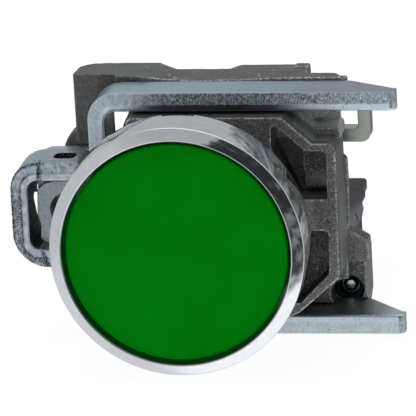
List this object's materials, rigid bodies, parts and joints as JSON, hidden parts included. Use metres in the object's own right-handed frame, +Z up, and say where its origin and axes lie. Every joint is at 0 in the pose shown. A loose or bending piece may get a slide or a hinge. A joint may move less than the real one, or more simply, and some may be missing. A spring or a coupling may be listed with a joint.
{
  "type": "panel push button",
  "caption": "Flush push button in a chromed round head, with a die-cast fixing collar, clamp yoke, locking lever and a contact block behind the panel.",
  "frame": {"origin": "centre of the button cap's front face, on the button's axis; the panel's front surface is 7.3 mm behind it", "axes": "+Y along the button's axis into the cabinet, so the button faces -Y; +Z up; +X along the long side of the collar"},
  "size_m": [0.045, 0.0467, 0.0303],
  "materials": {
    "chromed_head": "polished chrome plate",
    "green_cap": "even satin green",
    "dark_plastic": "satin moulded",
    "seal_rubber": "matt",
    "spring_steel": "bright drawn wire",
    "diecast_zinc": "dull grey die-cast, slightly sparkling",
    "zinc_plated_steel": "bluish zinc plate with rough sheared edges",
    "plated_screw": "bright zinc plate",
    "block_plastic": "dark blue-grey moulded plastic",
    "plunger_plastic": "natural white moulded plastic",
    "contact_bronze": "bare copper alloy",
    "contact_silver": "silver alloy"
  },
  "bodies": {
    "root": {"bezel": "chromed_head", "lip_seal": "seal_rubber", "panel_gasket": "seal_rubber", "head_spring": "spring_steel", "fixing_collar": "diecast_zinc", "latch_clip": "zinc_plated_steel", "block_housing": "block_plastic", "block_cover": "block_plastic", "plunger_spring": "spring_steel", "fixed_contact_left": "contact_bronze", "fixed_contact_right": "contact_bronze", "fixed_tip_left": "contact_silver", "fixed_tip_right": "contact_silver"},
    "button": {"button_cap": "green_cap", "pusher": "dark_plastic", "pusher_plate": "dark_plastic"},
    "plunger": {"block_plunger": "plunger_plastic", "bridge_spring": "spring_steel"},
    "bridge": {"bridge_contact": "contact_bronze", "bridge_tip_left": "contact_silver", "bridge_tip_right": "contact_silver"},
    "yoke": {"clamp_yoke": "zinc_plated_steel"},
    "screw": {"clamp_screw": "plated_screw"},
    "lever": {"locking_lever": "zinc_plated_steel"},
    "clamp_left": {"terminal_clamp_left": "zinc_plated_steel"},
    "clamp_right": {"terminal_clamp_right": "zinc_plated_steel"},
    "tscrew_left": {"terminal_screw_left": "plated_screw"},
    "tscrew_right": {"terminal_screw_right": "plated_screw"}
  },
  "joints": [
    {"name": "button_press", "type": "slide", "parent": "root", "child": "button", "axis": [0, 1, 0], "range_m": [0, 0.0043], "stiffness_N_per_m": 400, "deforming": ["head_spring"]},
    {"name": "plunger_follow", "type": "slide", "parent": "root", "child": "plunger", "axis": [0, 1, 0], "range_m": [0, 0.0043], "deforming": ["plunger_spring"]},
    {"name": "bridge_follow", "type": "slide", "parent": "root", "child": "bridge", "axis": [0, 1, 0], "range_m": [0, 0.00258], "deforming": ["bridge_spring"]},
    {"name": "yoke_clamp", "type": "slide", "parent": "root", "child": "yoke", "axis": [0, -1, 0], "range_m": [0, 0.0064]},
    {"name": "screw_turn", "type": "hinge", "parent": "yoke", "child": "screw", "pos_m": [0.01605, 0, -0.0109], "axis": [0, -1, 0], "range_deg": [0, 4608.01]},
    {"name": "lever_pull", "type": "slide", "parent": "root", "child": "lever", "axis": [-1, 0, 0], "range_m": [0, 0.0025]},
    {"name": "terminal_left_close", "type": "slide", "parent": "root", "child": "clamp_left", "axis": [0, -1, 0], "range_m": [0, 0.0014]},
    {"name": "terminal_left_turn", "type": "hinge", "parent": "clamp_left", "child": "tscrew_left", "pos_m": [-0.0104, 0, -0.01], "axis": [0, -1, 0], "range_deg": [0, 1008.01]},
    {"name": "terminal_right_close", "type": "slide", "parent": "root", "child": "clamp_right", "axis": [0, -1, 0], "range_m": [0, 0.0014]},
    {"name": "terminal_right_turn", "type": "hinge", "parent": "clamp_right", "child": "tscrew_right", "pos_m": [0.0104, 0, -0.01], "axis": [0, -1, 0], "range_deg": [0, 1008.01]}
  ],
  "couplings": [
    {"joint": "plunger_follow", "follows": "button_press", "ratio": 1},
    {"joint": "bridge_follow", "follows": "button_press", "ratio": 0.6},
    {"joint": "screw_turn", "follows": "yoke_clamp", "rad_per_m": 12566},
    {"joint": "terminal_left_turn", "follows": "terminal_left_close", "rad_per_m": 12566},
    {"joint": "terminal_right_turn", "follows": "terminal_right_close", "rad_per_m": 12566}
  ]
}
